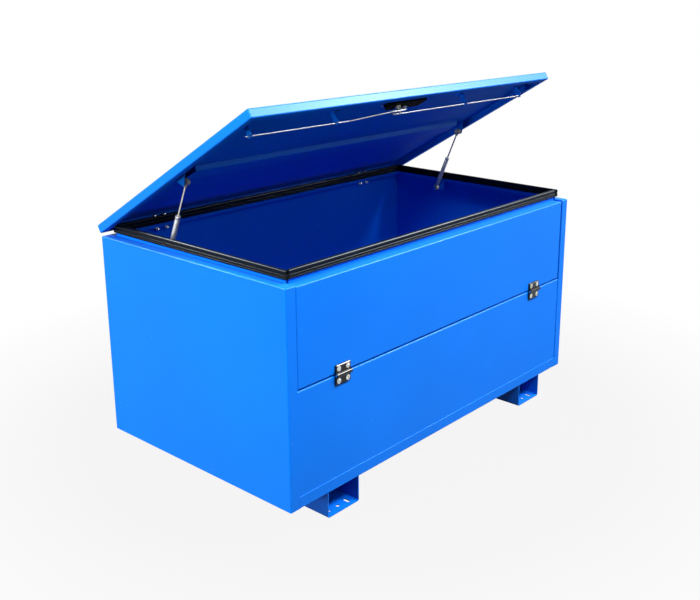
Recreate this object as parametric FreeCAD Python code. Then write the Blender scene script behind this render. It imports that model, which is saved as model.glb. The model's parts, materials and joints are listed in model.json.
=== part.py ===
import FreeCAD, Part
import math
import os

# Steel jobsite storage box with a strut-held lid, a drop-down upper front
# door and a two-rod latch. Millimetres, +Z up, origin on the floor under the
# middle of the box, front towards -Y. The lid stands open as it rests on its
# struts; its pieces are drawn closed and then swung open about the hinge line.

V = FreeCAD.Vector

# Box shell
BODY_W = 1400.0
BODY_D = 800.0
BODY_H = 636.0
SHEET = 2.0
CORNER_R = 4.0
LEDGE_W = 35.0
UPSTAND_H = 20.0
RAIL_H = 35.0
RAIL_EDGE_R = 1.2
STOP_LIP = 20.0
DOOR_SPLIT = 344.0
SPLIT_GAP = 4.0
PANEL_FLANGE = 24.0

# Channel feet
FOOT_H = 80.0
FOOT_W = 130.0
FOOT_INSET = 208.0
FOOT_T = 3.0
FOOT_R = 6.0
ANCHOR_R = 6.0
ANCHOR_INSET = 25.0
ANCHOR_PITCH = 38.0
SLOT_L = 24.0
SLOT_R = 5.0

# Front door
DOOR_SIDE_GAP = 2.5
DOOR_TOP_DROP = 4.0
DOOR_FLANGE = 22.0
STOP_CLEAR = 0.3

# Lid
LID_OPEN_DEG = 30.6
LID_GAP = 4.0
LID_SKIRT = 27.0
LID_FRONT_OVER = 12.0
LID_SIDE_OVER = 2.0
LID_RETURN = 22.0
HAT_FROM_BACK = 398.0
HAT_BOTTOM = 59.0
HAT_TOP = 72.0
HAT_BRIM = 30.0
HAT_DEPTH = 15.0
HAT_T = 1.5
HAT_END_GAP = 10.0

# Rim seal
SEAL_W = 12.0
SEAL_LIFT = 10.0
SEAL_OVER = 4.0
SEAL_BULB_R = 6.5
SEAL_BULB_BORE = 4.5
SEAL_SINK = 1.0
SEAL_R = 2.0
SEAL_CLEAR = 0.15
SEAL_CORNER_GAP = 3.0
SEAL_END = 6.0

# Leaf hinges
HINGE_W = 60.0
HINGE_LEAF = 29.0
HINGE_T = 6.5
HINGE_OFF = 7.0
KNUCKLE_R = 6.5
KNUCKLE_GAP = 0.3
HINGE_R = 4.0
HINGE_CHAMFER = 1.8
PIN_R = 3.0
PIN_PROUD = 1.0
RUN_CLEAR = 0.05
LEAF_CLEAR = 0.6
SCREW_PITCH = 36.0
SCREW_R = 4.0
SCREW_HEAD_R = 8.0
SCREW_CLEAR = 0.2
SCREW_PROUD = 5.0
SOCKET_AF = 5.0
SOCKET_DEPTH = 2.6
NUT_AF = 13.0
NUT_H = 6.5
LID_HINGE_INSET = 217.0
DOOR_HINGE_INSET = 208.0

# Gas struts
STRUT_INSET = 25.0
STRUT_WALL_FROM_BACK = 250.0
STRUT_WALL_DROP = 24.0
STRUT_LID_FROM_BACK = 402.0
STRUT_LID_DEPTH = 36.0
CYL_R = 7.5
CYL_WALL = 1.0
CYL_L = 120.0
CYL_CAP = 3.0
GUIDE_L = 12.0
COLLAR_R = 8.2
COLLAR_L = 5.0
ROD_R = 3.0
PISTON_L = 7.0
PISTON_GAP = 0.5
EYE_R = 10.0
EYE_W = 12.0
LOWER_NECK = 14.0
UPPER_NECK = 16.0
NECK_R = 5.0
STUD_R = 4.0
STUD_HEAD_R = 7.0
STUD_HEAD_L = 3.0
BRACKET_T = 3.0
WALL_BRACKET_W = 40.0
WALL_BRACKET_R = 14.0
WALL_BRACKET_LAP = 6.0
LID_BRACKET_GAP = 12.0
LID_BRACKET_W = 64.0
LID_BRACKET_FOOT = 24.0
LID_BRACKET_R = 9.5
OPEN_PIVOT_CLEAR = 0.3

# Latch
CAM_X = -45.0
CAM_FROM_FRONT = 74.0
PIN_THROW = 14.0
DISH_W = 164.0
DISH_D = 50.0
DISH_DEPTH = 16.0
DISH_WALL = 2.5
DISH_R = 12.0
DISH_FLANGE_X = 18.0
DISH_FLANGE_Y = 3.0
DISH_FLANGE_T = 3.0
DISH_SCREW_R = 2.0
DISH_SCREW_Y = 17.0
DISH_HEAD_R = 4.0
DISH_NUT_AF = 7.0
DISH_NUT_H = 3.2
HUB_R = 14.0
SPINDLE_R = 6.0
SPINDLE_END_R = 4.0
HANDLE_HUB_R = 15.0
HANDLE_LIFT = 0.3
HANDLE_H = 12.5
HANDLE_L = 112.0
HANDLE_W = 22.0
HANDLE_TIP_W = 17.0
HANDLE_ARM_T = 9.0
HANDLE_BORE = 8.0
CAM_DEPTH = 31.0
CAM_T = 3.0
CAM_ARM_W = 16.0
CAM_ARM_END = 4.0
CAM_SLOT_W = 7.0
CAM_NUT_H = 5.0
SPINDLE_PROUD = 3.0
ROD_WIRE_R = 2.0
ROD_DEPTH = 38.0
ROD_BEND = 6.0
ROD_TIP_INSET = 13.0
ROD_LEAD_IN = 51.0
ROD_LEAD_OUT = 45.0
ROD_SWEEP_R = 60.0
CLIP_R = 5.0
CLIP_T = 2.0
CLIP_GAP = 0.5
GUIDE_INSET = 28.0
GUIDE_STEP = 326.0
GUIDE_T = 3.0
GUIDE_W = 18.0
GUIDE_FOOT = 24.0
GUIDE_TIP = 6.0
GUIDE_CLEAR = 0.1

# Places that follow from the sizes
X_OUT = BODY_W / 2
Y_OUT = BODY_D / 2
Z_BASE = FOOT_H
Z_LEDGE = FOOT_H + BODY_H
Z_RIM = Z_LEDGE + UPSTAND_H
X_RIM = X_OUT - LEDGE_W
Y_RIM = Y_OUT - LEDGE_W
Z_SPLIT = Z_BASE + DOOR_SPLIT
DOOR_Y = -Y_OUT + SHEET
DOOR_TOP = Z_LEDGE - DOOR_TOP_DROP
DOOR_X = X_RIM - DOOR_SIDE_GAP
Z_SKIRT = Z_LEDGE + LID_GAP
Z_LID = Z_SKIRT + LID_SKIRT
Z_UNDER = Z_LID - SHEET
LID_AXIS = V(0, Y_OUT + HINGE_OFF, Z_LEDGE + LID_GAP / 2)
DOOR_AXIS = V(0, DOOR_Y - HINGE_OFF, Z_SPLIT)
SEAL_MID_X = X_RIM + SHEET / 2
SEAL_MID_Y = Y_RIM + SHEET / 2
DOOR_SEAL_X = SEAL_MID_X - SEAL_W / 2 - SEAL_CORNER_GAP
FOOT_X = X_OUT - FOOT_INSET
LID_HINGE_X = X_OUT - LID_HINGE_INSET
DOOR_HINGE_X = X_OUT - DOOR_HINGE_INSET
STRUT_X = X_RIM - STRUT_INSET
ROD_TIP_X = X_RIM - ROD_TIP_INSET
GUIDE_OUTER_X = X_RIM - GUIDE_INSET
GUIDE_INNER_X = GUIDE_OUTER_X - GUIDE_STEP


def box(x0, x1, y0, y1, z0, z1):
    return Part.makeBox(x1 - x0, y1 - y0, z1 - z0, V(x0, y0, z0))


def rod(start, direction, radius, length):
    return Part.makeCylinder(radius, length, start, direction)


def mirrored(shape):
    return shape.mirror(V(0, 0, 0), V(1, 0, 0))


def opened(shape):
    turned = shape.copy()
    turned.rotate(LID_AXIS, V(-1, 0, 0), LID_OPEN_DEG)
    return turned


def fused(first, *others):
    return first.fuse(list(others)).removeSplitter()


def hexagon(centre, direction, flats, height):
    """Hexagonal prism standing on its centre point along the direction."""
    ring = [V(flats / math.sqrt(3) * math.cos(math.radians(60 * i)),
              flats / math.sqrt(3) * math.sin(math.radians(60 * i)), 0) for i in range(7)]
    prism = Part.Face(Part.makePolygon(ring)).extrude(V(0, 0, height))
    prism.Placement = FreeCAD.Placement(centre, FreeCAD.Rotation(V(0, 0, 1), direction))
    return prism


def prism_xy(points, z0, z1):
    ring = [V(x, y, z0) for x, y in points]
    return Part.Face(Part.makePolygon(ring + ring[:1])).extrude(V(0, 0, z1 - z0))


def sheet_section(points, thickness, inside_r):
    """Face of a bent sheet: the path is one skin, the sheet lies on its left."""
    near, far = [], []
    path = [V(u, v, 0) for u, v in points]
    near_at, far_at = path[0], None
    for i in range(len(path) - 1):
        along = (path[i + 1] - path[i]).normalize()
        left = V(-along.y, along.x, 0)
        if far_at is None:
            far_at = near_at + left * thickness
            start_cap = Part.makeLine(far_at, near_at)
        if i == len(path) - 2:
            near.append(Part.makeLine(near_at, path[i + 1]))
            far.append(Part.makeLine(far_at, path[i + 1] + left * thickness))
            end_cap = Part.makeLine(path[i + 1], path[i + 1] + left * thickness)
            break
        after = (path[i + 2] - path[i + 1]).normalize()
        turn = math.atan2(along.cross(after).z, along.dot(after))
        near_r = inside_r + thickness if turn > 0 else inside_r
        far_r = inside_r if turn > 0 else inside_r + thickness
        back = near_r * math.tan(abs(turn) / 2)
        near_in = path[i + 1] - along * back
        near_out = path[i + 1] + after * back
        side = left if turn > 0 else left * -1
        centre = near_in + side * near_r
        middle = (path[i + 1] - centre).normalize()
        left_out = V(-after.y, after.x, 0)
        far_in = near_in + left * thickness
        far_out = near_out + left_out * thickness
        near.append(Part.makeLine(near_at, near_in))
        near.append(Part.Arc(near_in, centre + middle * near_r, near_out).toShape())
        far.append(Part.makeLine(far_at, far_in))
        far.append(Part.Arc(far_in, centre + middle * far_r, far_out).toShape())
        near_at, far_at = near_out, far_out
    edges = near + [end_cap] + far + [start_cap]
    return Part.Face(Part.Wire(Part.__sortEdges__(edges)))


def along_x(face, x0, x1):
    """Stand a section drawn in (y, z) at x0 and draw it out to x1."""
    placed = face.copy()
    turn = FreeCAD.Rotation(V(0, 1, 0), V(0, 0, 1), V(1, 0, 0), "XYZ")
    placed.Placement = FreeCAD.Placement(V(x0, 0, 0), turn)
    return placed.extrude(V(x1 - x0, 0, 0))


def edges_at(shape, test):
    """Edges whose both ends pass the test."""
    return [e for e in shape.Edges if all(test(v.Point) for v in e.Vertexes)]


def near(a, b):
    return abs(a - b) < 1e-6


# Box shell: one rounded tub, opened at the top, front and bottom, then parted
# into its panels along mitred corners.
def tub():
    outer = box(-X_OUT, X_OUT, -Y_OUT, Y_OUT, Z_BASE, Z_LEDGE)
    rounded = edges_at(outer, lambda p: near(p.z, Z_LEDGE))
    rounded += [e for e in outer.Edges if near(e.Vertexes[0].X, e.Vertexes[1].X)
                and near(e.Vertexes[0].Y, e.Vertexes[1].Y)]
    outer = outer.makeFillet(CORNER_R, rounded)
    x_in, y_in = X_OUT - SHEET, Y_OUT - SHEET
    inner = box(-x_in, x_in, -y_in, y_in, Z_BASE - SHEET, Z_LEDGE - SHEET)
    rounded = edges_at(inner, lambda p: near(p.z, Z_LEDGE - SHEET))
    rounded += [e for e in inner.Edges if near(e.Vertexes[0].X, e.Vertexes[1].X)
                and near(e.Vertexes[0].Y, e.Vertexes[1].Y)]
    inner = inner.makeFillet(CORNER_R - SHEET, rounded)
    mouth = box(-X_RIM, X_RIM, -Y_OUT - SHEET, Y_RIM, Z_BASE - SHEET, Z_LEDGE + SHEET)
    return outer.cut(inner).cut(mouth)


SHELL = tub()


def right_side():
    """Side wall with ledge and upstand, the folded front post and the strip that stops the door."""
    reach = X_OUT + LEDGE_W
    bend = -Y_OUT + CORNER_R
    region = prism_xy([(0, bend), (reach, bend), (reach, Y_OUT - CORNER_R),
                       (X_OUT - CORNER_R, Y_OUT - CORNER_R), (X_RIM, Y_RIM), (0, Y_RIM)],
                      Z_BASE - SHEET, Z_LEDGE + SHEET)
    upstand = box(X_RIM, X_RIM + SHEET, -Y_RIM - SHEET, Y_RIM, Z_LEDGE, Z_RIM)
    wall = fused(SHELL.common(region), upstand)
    stop_y = -Y_OUT + SHEET + DOOR_FLANGE + STOP_CLEAR
    floor_top = Z_BASE + SHEET
    front = box(0, reach, -Y_OUT - LEDGE_W, bend, Z_BASE - SHEET, Z_LEDGE + SHEET)
    post_return = box(X_RIM, X_RIM + SHEET, -Y_OUT + SHEET, stop_y + SHEET,
                      floor_top, Z_LEDGE - SHEET)
    post = fused(SHELL.common(front), post_return)
    strip = box(X_RIM - STOP_LIP, X_RIM, stop_y, stop_y + SHEET,
                floor_top, DOOR_TOP - SHEET - STOP_CLEAR)
    return Part.makeCompound([wall, post, strip])


def back():
    reach = X_OUT + LEDGE_W
    deep = Y_OUT + LEDGE_W
    bend = Y_OUT - CORNER_R
    region = prism_xy([(-reach, bend), (-X_OUT + CORNER_R, bend), (-X_RIM, Y_RIM), (X_RIM, Y_RIM),
                       (X_OUT - CORNER_R, bend), (reach, bend), (reach, deep), (-reach, deep)],
                      Z_BASE - SHEET, Z_LEDGE + SHEET)
    wall = SHELL.common(region)
    upstand = box(-X_RIM - SHEET, X_RIM + SHEET, Y_RIM, Y_RIM + SHEET, Z_LEDGE, Z_RIM)
    panel = fused(wall, upstand)
    for x in screw_columns(LID_HINGE_X):
        at = V(x, Y_RIM + SHEET * 2, LID_AXIS.z - SCREW_PITCH / 2)
        panel = panel.cut(rod(at, V(0, 1, 0), SCREW_R + SCREW_CLEAR, LEDGE_W))
    return panel


def floor_pan():
    """Floor plate welded in between the walls, turned up in front as the bottom rail."""
    x_in, y_in = X_OUT - SHEET, Y_OUT - SHEET
    plate = box(-x_in, x_in, -y_in, y_in, Z_BASE, Z_BASE + SHEET)
    front = box(-X_RIM, X_RIM, -Y_OUT, -y_in, Z_BASE, Z_BASE + RAIL_H)
    pan = fused(plate, front)
    corner = edges_at(pan, lambda p: near(p.y, -Y_OUT) and near(p.z, Z_BASE))
    pan = pan.makeFillet(SHEET, corner)
    lip = edges_at(pan, lambda p: near(p.y, -Y_OUT) and near(p.z, Z_BASE + RAIL_H))
    pan = pan.makeFillet(RAIL_EDGE_R, lip)
    clear = SHELL.common(box(-X_OUT, X_OUT, -Y_OUT, Y_OUT, Z_BASE, Z_BASE + RAIL_H))
    return pan.cut(clear)


def lower_front():
    top = Z_SPLIT - SPLIT_GAP / 2
    section = sheet_section([(DOOR_Y + PANEL_FLANGE, top), (DOOR_Y, top), (DOOR_Y, Z_BASE + SHEET)],
                            SHEET, SHEET)
    panel = along_x(section, -X_RIM, X_RIM)
    notch_y = -Y_OUT + SHEET + DOOR_FLANGE + STOP_CLEAR
    for s in (-1, 1):
        x0, x1 = sorted((s * (X_RIM - STOP_LIP), s * (X_RIM + SHEET)))
        panel = panel.cut(box(x0, x1, notch_y, Y_OUT, top - LEDGE_W, top + SHEET))
    for x in screw_columns(DOOR_HINGE_X):
        at = V(x, -Y_OUT, DOOR_AXIS.z - SCREW_PITCH / 2)
        panel = panel.cut(rod(at, V(0, 1, 0), SCREW_R + SCREW_CLEAR, SHEET * 3))
    return panel


def foot(x):
    """Channel lying on its web, open at both ends, with anchor holes near each end."""
    half = FOOT_W / 2
    section = sheet_section([(-half, FOOT_H), (-half, 0), (half, 0), (half, FOOT_H)],
                            FOOT_T, FOOT_R - FOOT_T)
    channel = section.copy()
    channel.Placement = FreeCAD.Placement(
        V(x, -Y_OUT, 0), FreeCAD.Rotation(V(1, 0, 0), V(0, 0, 1), V(0, -1, 0), "XYZ"))
    channel = channel.extrude(V(0, BODY_D, 0))
    for end in (-1, 1):
        y = end * (Y_OUT - ANCHOR_INSET)
        for offset in (-ANCHOR_PITCH, 0):
            channel = channel.cut(rod(V(x + offset, y, -FOOT_T), V(0, 0, 1), ANCHOR_R, FOOT_T * 3))
        straight = SLOT_L / 2 - SLOT_R
        slot_x = x + ANCHOR_PITCH
        ends = [rod(V(slot_x, y + d * straight, -FOOT_T), V(0, 0, 1), SLOT_R, FOOT_T * 3)
                for d in (-1, 1)]
        middle = box(slot_x - SLOT_R, slot_x + SLOT_R, y - straight, y + straight,
                     -FOOT_T, FOOT_T * 2)
        channel = channel.cut(fused(middle, *ends))
    return channel


# Rim seal: a clip that grips the upstand, with a hollow bulb on top.
def seal_run(length):
    """Straight run along +Y from the origin, centred on x = 0, z = 0 at the ledge."""
    clip_top = UPSTAND_H + SEAL_OVER
    clip = box(-SEAL_W / 2, SEAL_W / 2, 0, length, SEAL_LIFT, clip_top)
    long_edges = [e for e in clip.Edges if abs(e.Vertexes[0].Y - e.Vertexes[1].Y) > 1]
    clip = clip.makeFillet(SEAL_R, long_edges)
    bulb_z = clip_top - SEAL_SINK + SEAL_BULB_R
    bulb = rod(V(0, 0, bulb_z), V(0, 1, 0), SEAL_BULB_R, length)
    bore = rod(V(0, 0, bulb_z), V(0, 1, 0), SEAL_BULB_BORE, length)
    half = SHEET / 2 + SEAL_CLEAR
    slot = box(-half, half, 0, length, SEAL_LIFT - 1, UPSTAND_H + SEAL_CLEAR)
    return fused(clip, bulb).cut(bore).cut(slot)


def rim_seal():
    z_top = Z_RIM + LEDGE_W + SEAL_BULB_R
    far = SEAL_W * 2
    y0 = -Y_RIM - SHEET - SEAL_END
    sides = []
    for s in (-1, 1):
        run = seal_run(SEAL_MID_Y + far - y0)
        run.translate(V(s * SEAL_MID_X, y0, Z_LEDGE))
        near_x, far_x = s * (SEAL_MID_X - far), s * (SEAL_MID_X + far)
        region = prism_xy([(near_x, y0), (far_x, y0), (far_x, SEAL_MID_Y + far),
                           (near_x, SEAL_MID_Y - far)], Z_LEDGE, z_top)
        sides.append(run.common(region))
    run = seal_run(2 * (SEAL_MID_X + far))
    run.rotate(V(0, 0, 0), V(0, 0, 1), 90)
    run.translate(V(SEAL_MID_X + far, SEAL_MID_Y, Z_LEDGE))
    near_x, far_x = SEAL_MID_X - far, SEAL_MID_X + far
    region = prism_xy([(-near_x, SEAL_MID_Y - far), (near_x, SEAL_MID_Y - far),
                       (far_x, SEAL_MID_Y + far), (-far_x, SEAL_MID_Y + far)], Z_LEDGE, z_top)
    return fused(run.common(region), *sides)


def door_seal():
    run = seal_run(2 * DOOR_SEAL_X)
    run.rotate(V(0, 0, 0), V(0, 0, 1), 90)
    run.translate(V(DOOR_SEAL_X, -SEAL_MID_Y, Z_LEDGE))
    return run


# Front door: a face sheet on a frame whose top carries on the ledge and the rim.
def door():
    bottom = Z_SPLIT + SPLIT_GAP / 2
    outer = box(-DOOR_X, DOOR_X, DOOR_Y, -Y_RIM, bottom, DOOR_TOP)
    rounded = [e for e in outer.Edges if not all(near(v.Y, -Y_RIM) for v in e.Vertexes)]
    outer = outer.makeFillet(CORNER_R, rounded)
    inner = box(-DOOR_X + SHEET, DOOR_X - SHEET, DOOR_Y + SHEET, -Y_RIM + SHEET,
                bottom + SHEET, DOOR_TOP - SHEET)
    rounded = [e for e in inner.Edges if not all(near(v.Y, -Y_RIM + SHEET) for v in e.Vertexes)]
    inner = inner.makeFillet(CORNER_R - SHEET, rounded)
    trim = box(-X_OUT, X_OUT, DOOR_Y + DOOR_FLANGE, Y_OUT, bottom - SHEET, DOOR_TOP - SHEET)
    upstand = box(-DOOR_SEAL_X, DOOR_SEAL_X, -Y_RIM - SHEET, -Y_RIM, DOOR_TOP - SHEET, Z_RIM)
    pan = fused(outer.cut(inner).cut(trim), upstand)
    for x in screw_columns(DOOR_HINGE_X):
        at = V(x, -Y_OUT, DOOR_AXIS.z + SCREW_PITCH / 2)
        pan = pan.cut(rod(at, V(0, 1, 0), SCREW_R + SCREW_CLEAR, SHEET * 3))
    bend = DOOR_Y + CORNER_R
    low, high = bottom + CORNER_R, DOOR_TOP - CORNER_R
    face = pan.common(box(-X_OUT, X_OUT, -Y_OUT, bend, bottom, Z_RIM))
    strips = []
    for z0, z1 in ((bottom, low), (low, high), (high, Z_RIM)):
        strips += pan.common(box(-X_OUT, X_OUT, bend, 0, z0, z1)).Solids
    return Part.makeCompound([face] + strips)


# Leaf hinges: hinge line along X at the origin, wall at y = HINGE_OFF.
def screw_columns(hinge_x):
    return [s * hinge_x + d * SCREW_PITCH / 2 for s in (-1, 1) for d in (-1, 1)]


def leaf(up, half):
    """Leaf above (up = 1) or below (up = -1), its knuckle on the half of that sign."""
    front = HINGE_OFF - HINGE_T
    start = KNUCKLE_R + LEAF_CLEAR
    plate = box(-HINGE_W / 2, HINGE_W / 2, front, HINGE_OFF, start, HINGE_LEAF)
    corners = [e for e in edges_at(plate, lambda p: near(p.z, HINGE_LEAF))
               if near(e.Vertexes[0].X, e.Vertexes[1].X)]
    plate = plate.makeFillet(HINGE_R, corners)
    outer_edge = [e for e in edges_at(plate, lambda p: near(p.y, front))
                  if not all(near(v.Z, start) for v in e.Vertexes)]
    plate = plate.makeChamfer(HINGE_CHAMFER, outer_edge)
    x0, x1 = sorted((half * KNUCKLE_GAP / 2, half * HINGE_W / 2))
    web = box(x0, x1, front, HINGE_OFF, 0, start)
    knuckle = rod(V(x0, 0, 0), V(1, 0, 0), KNUCKLE_R, x1 - x0)
    bore = rod(V(x0, 0, 0), V(1, 0, 0), PIN_R + RUN_CLEAR, x1 - x0)
    body = fused(plate, web, knuckle).cut(bore)
    sink = SCREW_HEAD_R - SCREW_R
    for x in (-SCREW_PITCH / 2, SCREW_PITCH / 2):
        at = V(x, front, SCREW_PITCH / 2)
        body = body.cut(rod(at, V(0, 1, 0), SCREW_R + SCREW_CLEAR, HINGE_T))
        body = body.cut(Part.makeCone(SCREW_HEAD_R + SCREW_CLEAR, SCREW_R + SCREW_CLEAR, sink,
                                      at, V(0, 1, 0)))
    if up < 0:
        body = body.mirror(V(0, 0, 0), V(0, 0, 1))
    return body


def screw_at(x, z):
    front = HINGE_OFF - HINGE_T
    sink = SCREW_HEAD_R - SCREW_R
    head = Part.makeCone(SCREW_HEAD_R, SCREW_R, sink, V(x, front, z), V(0, 1, 0))
    length = HINGE_T + SHEET + NUT_H + SCREW_PROUD - sink
    shank = rod(V(x, front + sink, z), V(0, 1, 0), SCREW_R, length)
    return fused(head, shank).cut(hexagon(V(x, front, z), V(0, 1, 0), SOCKET_AF, SOCKET_DEPTH))


def nut_at(x, z):
    at = V(x, HINGE_OFF + SHEET, z)
    return hexagon(at, V(0, 1, 0), NUT_AF, NUT_H).cut(rod(at, V(0, 1, 0), SCREW_R + RUN_CLEAR, NUT_H))


def hinge_pin():
    return rod(V(-HINGE_W / 2 - PIN_PROUD, 0, 0), V(1, 0, 0), PIN_R, HINGE_W + 2 * PIN_PROUD)


def on_front(shape, x):
    moved = shape.copy()
    moved.translate(DOOR_AXIS + V(x, 0, 0))
    return moved


def on_back(shape, x):
    moved = shape.copy()
    moved.rotate(V(0, 0, 0), V(0, 0, 1), 180)
    moved.translate(LID_AXIS + V(x, 0, 0))
    return moved


def fastener_set(make, level, place, hinge_x):
    return [place(make(d * SCREW_PITCH / 2, level * SCREW_PITCH / 2), s * hinge_x)
            for s in (-1, 1) for d in (-1, 1)]


# Lid tray: panel with four skirts, and a return flange on the front and sides.
def lid_tray():
    x_lid, y0, y1 = X_OUT + LID_SIDE_OVER, -Y_OUT - LID_FRONT_OVER, Y_OUT
    outer = box(-x_lid, x_lid, y0, y1, Z_SKIRT, Z_LID)
    outer = outer.makeFillet(CORNER_R, outer.Edges)
    inner = box(-x_lid + SHEET, x_lid - SHEET, y0 + SHEET, y1 - SHEET, Z_SKIRT + SHEET, Z_UNDER)
    inner = inner.makeFillet(CORNER_R - SHEET, inner.Edges)
    mouth = box(-x_lid + LID_RETURN, x_lid - LID_RETURN, y0 + LID_RETURN, y1 - SHEET,
                Z_SKIRT - SHEET, Z_SKIRT + CORNER_R)
    tray = outer.cut(inner).cut(mouth)
    for x in screw_columns(LID_HINGE_X):
        at = V(x, y1 - SHEET * 2, LID_AXIS.z + SCREW_PITCH / 2)
        tray = tray.cut(rod(at, V(0, 1, 0), SCREW_R + SCREW_CLEAR, SHEET * 3))
    x_dish, y_dish = DISH_W / 2 + SCREW_CLEAR, DISH_D / 2 + SCREW_CLEAR
    hole = box(-x_dish, x_dish, DISH_Y - y_dish, DISH_Y + y_dish, Z_UNDER - SHEET, Z_LID + SHEET)
    upright = [e for e in hole.Edges if not near(e.Vertexes[0].Z, e.Vertexes[1].Z)]
    tray = tray.cut(hole.makeFillet(DISH_R, upright))
    for at in dish_screw_points():
        low = V(at.x, at.y, Z_UNDER - SHEET)
        tray = tray.cut(rod(low, V(0, 0, 1), DISH_SCREW_R + SCREW_CLEAR, SHEET * 3))
    return tray


def stiffener():
    y = Y_OUT - HAT_FROM_BACK
    low, high, brim = HAT_BOTTOM / 2, HAT_TOP / 2, HAT_TOP / 2 + HAT_BRIM
    section = sheet_section([(y + brim, Z_UNDER), (y + high, Z_UNDER), (y + low, Z_UNDER - HAT_DEPTH),
                             (y - low, Z_UNDER - HAT_DEPTH), (y - high, Z_UNDER), (y - brim, Z_UNDER)],
                            HAT_T, HAT_T)
    half = LID_BRACKET_X - LID_BRACKET_FOOT - BRACKET_T - HAT_END_GAP
    return along_x(section, -half, half)


# Gas struts, drawn on the right and mirrored to the left.
WALL_PIVOT = V(STRUT_X, Y_OUT - STRUT_WALL_FROM_BACK, Z_LEDGE - STRUT_WALL_DROP)
LID_PIVOT_CLOSED = V(STRUT_X, Y_OUT - STRUT_LID_FROM_BACK, Z_LID - STRUT_LID_DEPTH)
LID_BRACKET_X = STRUT_X + LID_BRACKET_GAP
LID_PIVOT = opened(Part.Vertex(LID_PIVOT_CLOSED)).Point
STRUT_DIR = (LID_PIVOT - WALL_PIVOT).normalize()
STRUT_OPEN = (LID_PIVOT - WALL_PIVOT).Length


def revolved(radii, start):
    """Turn a list of (radius, distance) about the strut's axis, from the start point."""
    ring = [V(r, 0, d) for r, d in radii]
    solid = Part.Face(Part.makePolygon(ring + ring[:1])).revolve(V(0, 0, 0), V(0, 0, 1), 360)
    solid.Placement = FreeCAD.Placement(start, FreeCAD.Rotation(V(0, 0, 1), STRUT_DIR))
    return solid


def wall_bracket():
    """Plate on the inner face of the upstand, hanging to the strut's lower pivot."""
    top = Z_LEDGE + WALL_BRACKET_LAP
    half = WALL_BRACKET_W / 2
    x0 = X_RIM - BRACKET_T
    plate = box(x0, X_RIM, WALL_PIVOT.y - half, WALL_PIVOT.y + half, WALL_PIVOT.z, top)
    low = box(x0, X_RIM, WALL_PIVOT.y - half, WALL_PIVOT.y + half,
              WALL_PIVOT.z - WALL_BRACKET_R, WALL_PIVOT.z)
    plate = fused(plate, low)
    corners = [e for e in plate.Edges if near(e.Vertexes[0].Y, e.Vertexes[1].Y)
               and near(e.Vertexes[0].Z, e.Vertexes[1].Z) and e.Vertexes[0].Z < WALL_PIVOT.z]
    plate = plate.makeFillet(WALL_BRACKET_R * 0.9, corners)
    hole = rod(V(x0, WALL_PIVOT.y, WALL_PIVOT.z), V(1, 0, 0), STUD_R + RUN_CLEAR, BRACKET_T)
    return plate.cut(hole)


def wall_stud():
    """Headed stud through the strut's lower eye, riveted behind the bracket."""
    x0 = STRUT_X - EYE_W / 2 - OPEN_PIVOT_CLEAR
    shank = rod(V(x0, WALL_PIVOT.y, WALL_PIVOT.z), V(1, 0, 0), STUD_R, X_RIM - x0)
    head = rod(V(x0 - STUD_HEAD_L, WALL_PIVOT.y, WALL_PIVOT.z), V(1, 0, 0), STUD_HEAD_R, STUD_HEAD_L)
    rivet = rod(V(X_RIM, WALL_PIVOT.y, WALL_PIVOT.z), V(1, 0, 0), STUD_HEAD_R, STUD_HEAD_L)
    shoulder_x = STRUT_X + EYE_W / 2 + OPEN_PIVOT_CLEAR
    shoulder = rod(V(shoulder_x, WALL_PIVOT.y, WALL_PIVOT.z), V(1, 0, 0), STUD_HEAD_R,
                   X_RIM - BRACKET_T - shoulder_x)
    return fused(shank, head, rivet, shoulder)


def lower_eye():
    eye = rod(WALL_PIVOT - V(EYE_W / 2, 0, 0), V(1, 0, 0), EYE_R, EYE_W)
    neck = rod(WALL_PIVOT, STRUT_DIR, NECK_R, LOWER_NECK)
    bore = rod(WALL_PIVOT - V(EYE_W / 2, 0, 0), V(1, 0, 0), STUD_R + RUN_CLEAR, EYE_W)
    return fused(eye, neck).cut(bore)


def cylinder():
    bore = CYL_R - CYL_WALL
    guide = ROD_R + RUN_CLEAR
    return revolved([(0, 0), (CYL_R, 0), (CYL_R, CYL_L - COLLAR_L), (COLLAR_R, CYL_L - COLLAR_L),
                     (COLLAR_R, CYL_L), (guide, CYL_L), (guide, CYL_L - GUIDE_L), (bore, CYL_L - GUIDE_L),
                     (bore, CYL_CAP), (0, CYL_CAP)], WALL_PIVOT + STRUT_DIR * LOWER_NECK)


def strut_rod():
    piston_top = CYL_L - GUIDE_L - PISTON_GAP
    top = STRUT_OPEN - LOWER_NECK - UPPER_NECK
    piston_r = CYL_R - CYL_WALL - RUN_CLEAR
    return revolved([(0, piston_top - PISTON_L), (piston_r, piston_top - PISTON_L), (piston_r, piston_top),
                     (ROD_R, piston_top), (ROD_R, top), (0, top)], WALL_PIVOT + STRUT_DIR * LOWER_NECK)


def upper_eye():
    """End fitting with its stud, which stops just short of the lid bracket."""
    eye = rod(LID_PIVOT - V(EYE_W / 2, 0, 0), V(1, 0, 0), EYE_R, EYE_W)
    neck = rod(LID_PIVOT, STRUT_DIR * -1, NECK_R, UPPER_NECK)
    x0 = STRUT_X - EYE_W / 2
    shank = rod(V(x0, LID_PIVOT.y, LID_PIVOT.z), V(1, 0, 0), STUD_R,
                LID_BRACKET_X - OPEN_PIVOT_CLEAR - x0)
    head = rod(V(x0 - STUD_HEAD_L, LID_PIVOT.y, LID_PIVOT.z), V(1, 0, 0), STUD_HEAD_R, STUD_HEAD_L)
    return fused(eye, neck, shank, head)


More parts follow.
